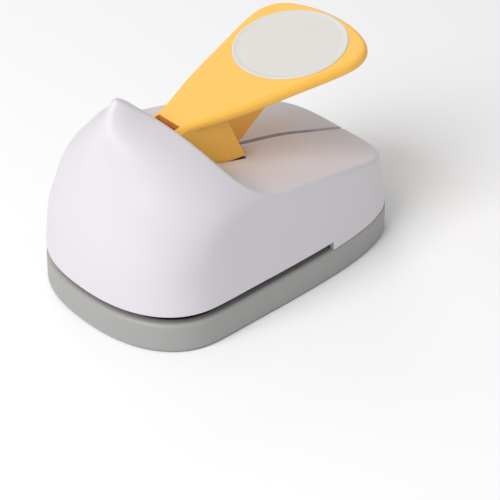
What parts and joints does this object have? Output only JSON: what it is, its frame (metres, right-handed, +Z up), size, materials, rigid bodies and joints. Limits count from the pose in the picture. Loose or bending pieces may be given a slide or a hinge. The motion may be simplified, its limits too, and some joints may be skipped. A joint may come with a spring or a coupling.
{
  "type": "hole punch",
  "caption": "Large lever craft punch with a domed white housing, grey base, yellow paddle lever and a round steel cutter and die.",
  "frame": {"origin": "centre of the bounding box on the surface that the feet stand on", "axes": "+X along the punch from the dome and throat towards the lever's tip, +Y across it, +Z up"},
  "size_m": [0.1555, 0.0992, 0.101],
  "materials": {
    "white_abs": "satin moulded",
    "grey_abs": "satin moulded",
    "yellow_abs": "satin moulded",
    "pad_grey": "matt moulded",
    "red_acetal": "moulded",
    "dark_acetal": "moulded",
    "white_acetal": "moulded",
    "black_rubber": "matt",
    "steel_plate": "stamped",
    "tool_steel": "ground",
    "spring_steel": "drawn",
    "plated_screw": "zinc plated"
  },
  "bodies": {
    "frame": {"upper_housing": "white_abs", "base_tray": "grey_abs", "die_plate": "steel_plate", "throat_spacer": "grey_abs", "guide_plate": "steel_plate", "guide_posts": "tool_steel", "post_clips": "spring_steel", "return_springs": "spring_steel", "hinge_bracket": "steel_plate", "hinge_block": "red_acetal", "block_screws": "plated_screw", "hinge_axle": "tool_steel", "axle_clips": "spring_steel", "hinge_washers": "white_acetal", "rubber_feet": "black_rubber", "frame_screws": "plated_screw", "rear_housing_screws": "plated_screw", "front_housing_screws": "plated_screw", "bracket_screws": "plated_screw"},
    "lever": {"lever": "yellow_abs", "lever_pad": "pad_grey", "press_pin": "tool_steel"},
    "punch": {"punch_cutter": "tool_steel", "plunger": "dark_acetal", "wear_pad": "white_acetal", "plunger_screws": "plated_screw"}
  },
  "joints": [
    {"name": "lever_hinge", "type": "hinge", "parent": "frame", "child": "lever", "pos_m": [-0.034, 0, 0.058], "axis": [0, 1, 0], "range_deg": [0, 28], "stiffness_Nm_per_rad": 0.6, "springref_deg": -17.19},
    {"name": "punch_slide", "type": "slide", "parent": "frame", "child": "punch", "axis": [0, 0, -1], "range_m": [0, 0.00602], "deforming": ["return_springs"]}
  ],
  "couplings": [
    {"joint": "punch_slide", "follows": "lever_hinge", "m_per_rad": 0.0123}
  ]
}
